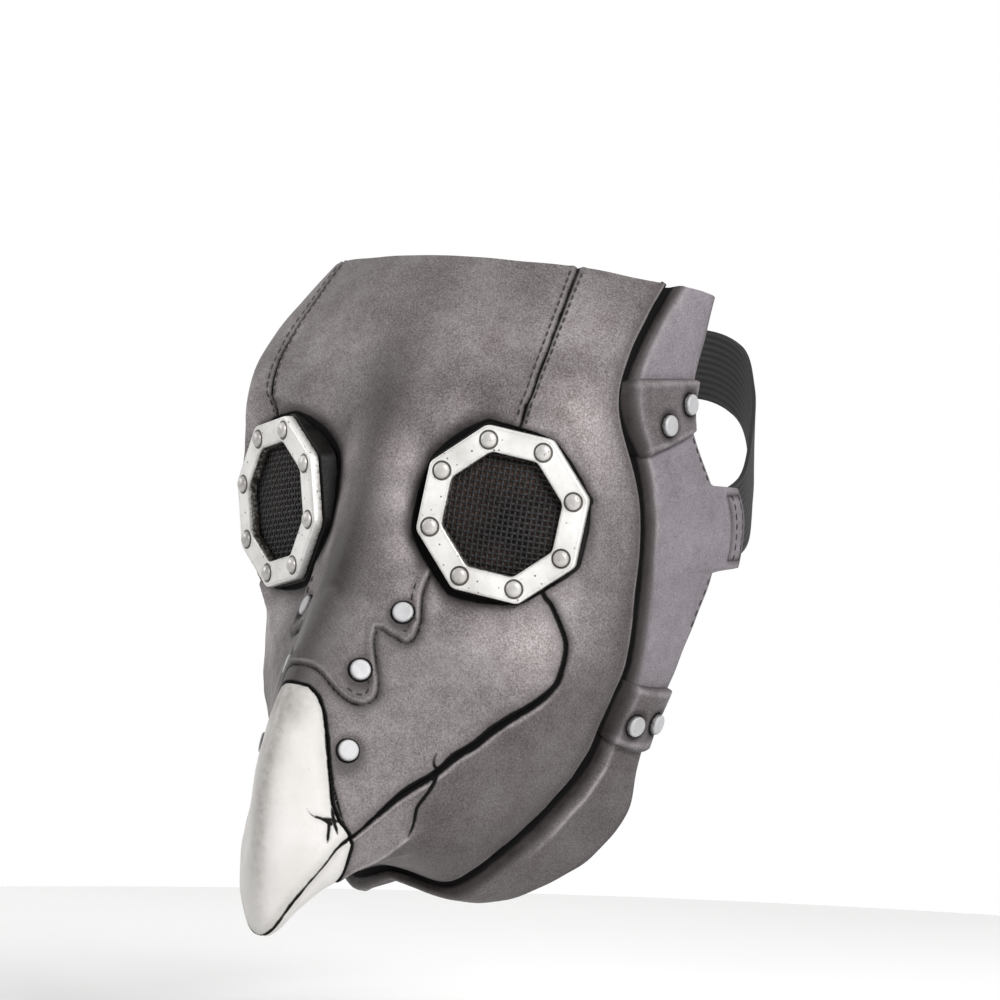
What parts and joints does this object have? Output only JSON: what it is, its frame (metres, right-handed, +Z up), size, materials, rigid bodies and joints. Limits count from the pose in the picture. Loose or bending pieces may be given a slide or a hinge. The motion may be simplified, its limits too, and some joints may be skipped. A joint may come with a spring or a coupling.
{
  "type": "latex bird mask",
  "caption": "Hollow latex bird mask with a hooked pale beak tip, riveted octagonal eye frames with dark mesh, riveted tabs on a rear band and an elastic head strap.",
  "frame": {"origin": "on the mid-plane at eye level, between the centres of the two eye frames, where the wearer's nose bridge seats the mask", "axes": "+Z up when worn, -Y the way the beak points, +Y back through the wearer's head, +X the wearer's left"},
  "size_m": [0.175, 0.2359, 0.227],
  "materials": {
    "latex": "dry-brushed dark grey latex",
    "tab": "dry-brushed grey latex",
    "ivory": "aged ivory paint on latex",
    "silver": "worn silver paint",
    "mesh": "black open net",
    "elastic": "black woven elastic"
  },
  "bodies": {
    "root": {"latex_shell": "latex", "beak_tip": "ivory", "eye_frame_left": "silver", "eye_frame_right": "silver", "eye_mesh_left": "mesh", "eye_mesh_right": "mesh", "temple_tab_left": "tab", "temple_tab_right": "tab", "jaw_tab_left": "tab", "jaw_tab_right": "tab", "beak_rivet_upper_left": "silver", "beak_rivet_middle_left": "silver", "beak_rivet_lower_left": "silver", "beak_rivet_upper_right": "silver", "beak_rivet_middle_right": "silver", "beak_rivet_lower_right": "silver", "temple_rivet_front_left": "silver", "temple_rivet_rear_left": "silver", "temple_rivet_front_right": "silver", "temple_rivet_rear_right": "silver", "jaw_rivet_front_left": "silver", "jaw_rivet_rear_left": "silver", "jaw_rivet_front_right": "silver", "jaw_rivet_rear_right": "silver", "elastic_strap": "elastic"}
  },
  "joints": []
}
